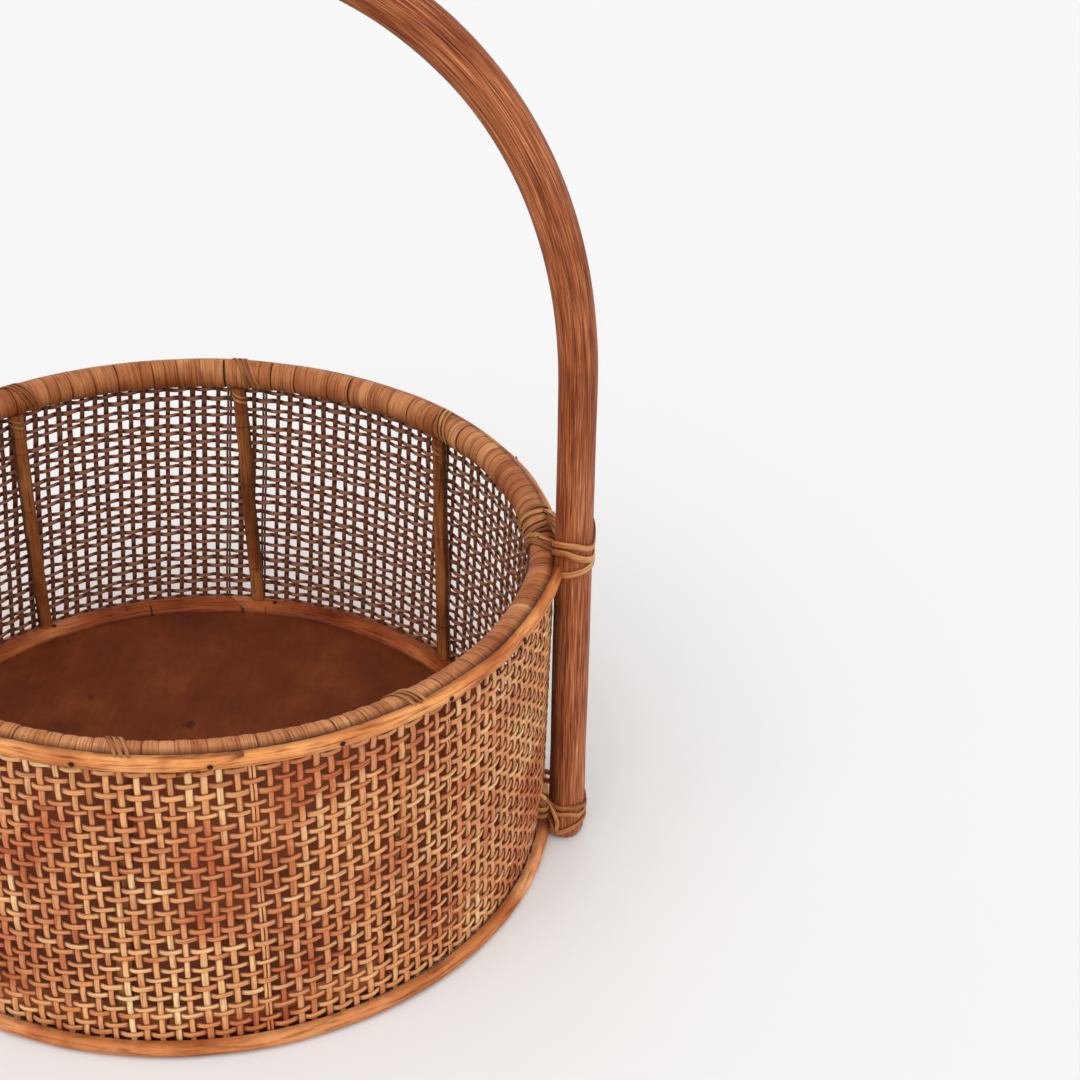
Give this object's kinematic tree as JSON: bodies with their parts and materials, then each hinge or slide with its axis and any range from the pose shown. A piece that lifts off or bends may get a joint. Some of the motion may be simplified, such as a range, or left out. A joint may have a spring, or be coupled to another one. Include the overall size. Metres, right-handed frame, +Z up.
{
  "type": "fruit basket",
  "caption": "Low round woven cane basket with a wrapped rim, split-rattan hoops, a flat floor and a tall fixed arched pole handle lashed to its sides.",
  "frame": {"origin": "on the ground under the basket's centre", "axes": "+Z up; the handle's arch stands in the XZ plane, so +X points to one leg and +Y across the handle"},
  "size_m": [0.3642, 0.3292, 0.4192],
  "materials": {
    "rattan_pole": "satin, reddish brown",
    "binding_cane": "satin golden brown cane",
    "split_rattan": "satin golden tan",
    "woven_cane": "satin reddish tan weave",
    "stained_board": "dark brown stain",
    "nail_iron": "dark"
  },
  "bodies": {
    "root": {"base_inner_hoop": "split_rattan", "base_outer_hoop": "split_rattan", "floor_board": "stained_board", "floor_hoop_nail_1": "nail_iron", "floor_hoop_nail_2": "nail_iron", "floor_hoop_nail_3": "nail_iron", "floor_hoop_nail_4": "nail_iron", "floor_hoop_nail_5": "nail_iron", "floor_hoop_nail_6": "nail_iron", "floor_hoop_nail_7": "nail_iron", "floor_hoop_nail_8": "nail_iron", "handle_pole": "rattan_pole", "lower_lashing_left": "binding_cane", "lower_lashing_right": "binding_cane", "rim_band_nail_1": "nail_iron", "rim_band_nail_10": "nail_iron", "rim_band_nail_11": "nail_iron", "rim_band_nail_12": "nail_iron", "rim_band_nail_13": "nail_iron", "rim_band_nail_14": "nail_iron", "rim_band_nail_15": "nail_iron", "rim_band_nail_16": "nail_iron", "rim_band_nail_17": "nail_iron", "rim_band_nail_18": "nail_iron", "rim_band_nail_2": "nail_iron", "rim_band_nail_3": "nail_iron", "rim_band_nail_4": "nail_iron", "rim_band_nail_5": "nail_iron", "rim_band_nail_6": "nail_iron", "rim_band_nail_7": "nail_iron", "rim_band_nail_8": "nail_iron", "rim_band_nail_9": "nail_iron", "rim_binding": "binding_cane", "rim_core": "binding_cane", "rim_outer_band": "split_rattan", "stake_1": "split_rattan", "stake_2": "split_rattan", "stake_3": "split_rattan", "stake_4": "split_rattan", "stake_5": "split_rattan", "stake_6": "split_rattan", "stake_tie_1": "binding_cane", "stake_tie_2": "binding_cane", "stake_tie_3": "binding_cane", "stake_tie_4": "binding_cane", "stake_tie_5": "binding_cane", "stake_tie_6": "binding_cane", "upper_lashing_left": "binding_cane", "upper_lashing_right": "binding_cane", "upper_strap_left_1": "binding_cane", "upper_strap_left_2": "binding_cane", "upper_strap_right_1": "binding_cane", "upper_strap_right_2": "binding_cane", "woven_wall": "woven_cane"}
  },
  "joints": []
}
